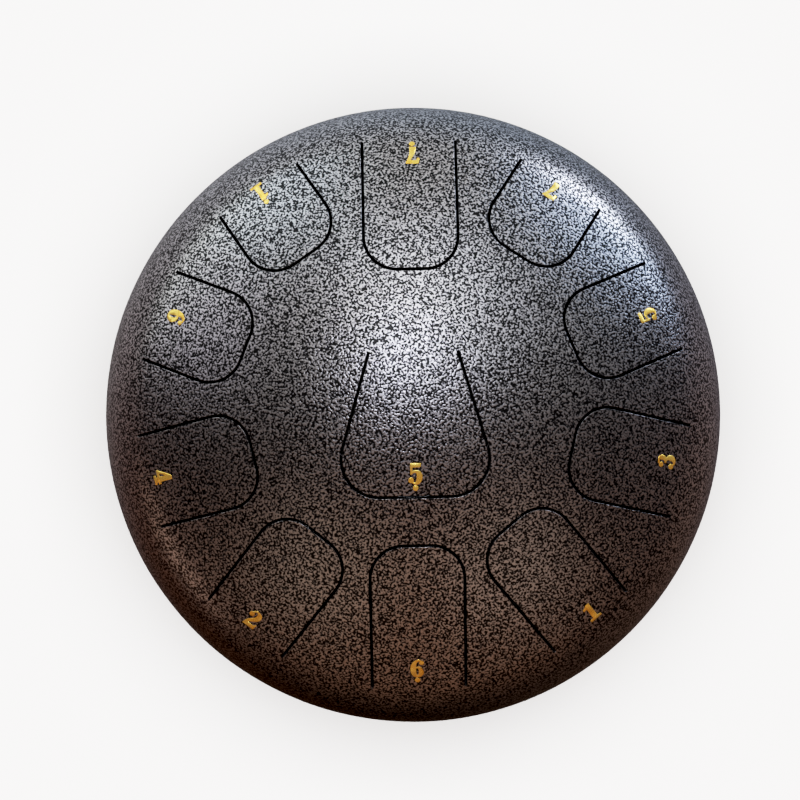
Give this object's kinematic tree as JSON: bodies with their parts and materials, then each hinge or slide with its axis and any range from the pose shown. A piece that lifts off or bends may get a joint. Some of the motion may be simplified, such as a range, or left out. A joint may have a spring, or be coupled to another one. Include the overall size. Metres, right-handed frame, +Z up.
{
  "type": "steel tongue drum",
  "caption": "Round steel tongue drum: two pressed domes welded at their rims, with slotted tongues cut in the top dome, a sound port below and screwed rubber feet.",
  "frame": {"origin": "on the floor under the middle of the drum", "axes": "+Z up along the drum's axis; the player sits on the -Y side, +X is the player's right"},
  "size_m": [0.254, 0.254, 0.138],
  "materials": {
    "hammertone_paint": "dark grey hammertone enamel, semi-gloss",
    "foot_rubber": "matte black moulded rubber",
    "zinc_steel": "bright zinc plate",
    "gold_foil": "satin gold metal foil of the note numbers"
  },
  "bodies": {
    "drum": {"upper_shell": "hammertone_paint", "lower_shell": "hammertone_paint", "seam_weld": "hammertone_paint", "foot_front_left": "foot_rubber", "foot_front_right": "foot_rubber", "foot_back_left": "foot_rubber", "foot_back_right": "foot_rubber", "foot_inserts": "zinc_steel", "foot_screws": "zinc_steel", "foot_washers": "zinc_steel", "foot_nuts": "zinc_steel"},
    "tongue_low_5": {"tongue_low_5": "hammertone_paint"},
    "tongue_low_6": {"tongue_low_6": "hammertone_paint"},
    "tongue_low_7": {"tongue_low_7": "hammertone_paint"},
    "tongue_1": {"tongue_1": "hammertone_paint"},
    "tongue_2": {"tongue_2": "hammertone_paint"},
    "tongue_3": {"tongue_3": "hammertone_paint"},
    "tongue_4": {"tongue_4": "hammertone_paint"},
    "tongue_5": {"tongue_5": "hammertone_paint"},
    "tongue_6": {"tongue_6": "hammertone_paint"},
    "tongue_7": {"tongue_7": "hammertone_paint"},
    "tongue_high_1": {"tongue_high_1": "hammertone_paint"}
  },
  "joints": [
    {"name": "bend_low_5", "type": "hinge", "parent": "drum", "child": "tongue_low_5", "pos_m": [0, 0.02402, 0.13553], "axis": [-1, 0, 0], "range_deg": [-0.5, 0.5], "stiffness_Nm_per_rad": 5},
    {"name": "bend_low_6", "type": "hinge", "parent": "drum", "child": "tongue_low_6", "pos_m": [0, -0.11002, 0.10338], "axis": [1, 0, 0], "range_deg": [-0.5, 0.5], "stiffness_Nm_per_rad": 5},
    {"name": "bend_low_7", "type": "hinge", "parent": "drum", "child": "tongue_low_7", "pos_m": [0, 0.11002, 0.10338], "axis": [-1, 0, 0], "range_deg": [-0.5, 0.5], "stiffness_Nm_per_rad": 4.39},
    {"name": "bend_1", "type": "hinge", "parent": "drum", "child": "tongue_1", "pos_m": [0.06968, -0.08514, 0.10338], "axis": [0.7738, 0.6334, 0], "range_deg": [-0.5, 0.5], "stiffness_Nm_per_rad": 4.25},
    {"name": "bend_2", "type": "hinge", "parent": "drum", "child": "tongue_2", "pos_m": [-0.06968, -0.08514, 0.10338], "axis": [0.7738, -0.6334, 0], "range_deg": [-0.5, 0.5], "stiffness_Nm_per_rad": 3.87},
    {"name": "bend_3", "type": "hinge", "parent": "drum", "child": "tongue_3", "pos_m": [0.10711, -0.02512, 0.10338], "axis": [0.2284, 0.9736, 0], "range_deg": [-0.5, 0.5], "stiffness_Nm_per_rad": 3.49},
    {"name": "bend_4", "type": "hinge", "parent": "drum", "child": "tongue_4", "pos_m": [-0.10711, -0.02512, 0.10338], "axis": [0.2284, -0.9736, 0], "range_deg": [-0.5, 0.5], "stiffness_Nm_per_rad": 3.28},
    {"name": "bend_5", "type": "hinge", "parent": "drum", "child": "tongue_5", "pos_m": [0.10179, 0.04175, 0.10338], "axis": [-0.3795, 0.9252, 0], "range_deg": [-0.5, 0.5], "stiffness_Nm_per_rad": 2.95},
    {"name": "bend_6", "type": "hinge", "parent": "drum", "child": "tongue_6", "pos_m": [-0.10179, 0.04175, 0.10338], "axis": [-0.3795, -0.9252, 0], "range_deg": [-0.5, 0.5], "stiffness_Nm_per_rad": 2.51},
    {"name": "bend_7", "type": "hinge", "parent": "drum", "child": "tongue_7", "pos_m": [0.06104, 0.09153, 0.10338], "axis": [-0.832, 0.5548, 0], "range_deg": [-0.5, 0.5], "stiffness_Nm_per_rad": 2.06},
    {"name": "bend_high_1", "type": "hinge", "parent": "drum", "child": "tongue_high_1", "pos_m": [-0.06104, 0.09153, 0.10338], "axis": [-0.832, -0.5548, 0], "range_deg": [-0.5, 0.5], "stiffness_Nm_per_rad": 2}
  ]
}
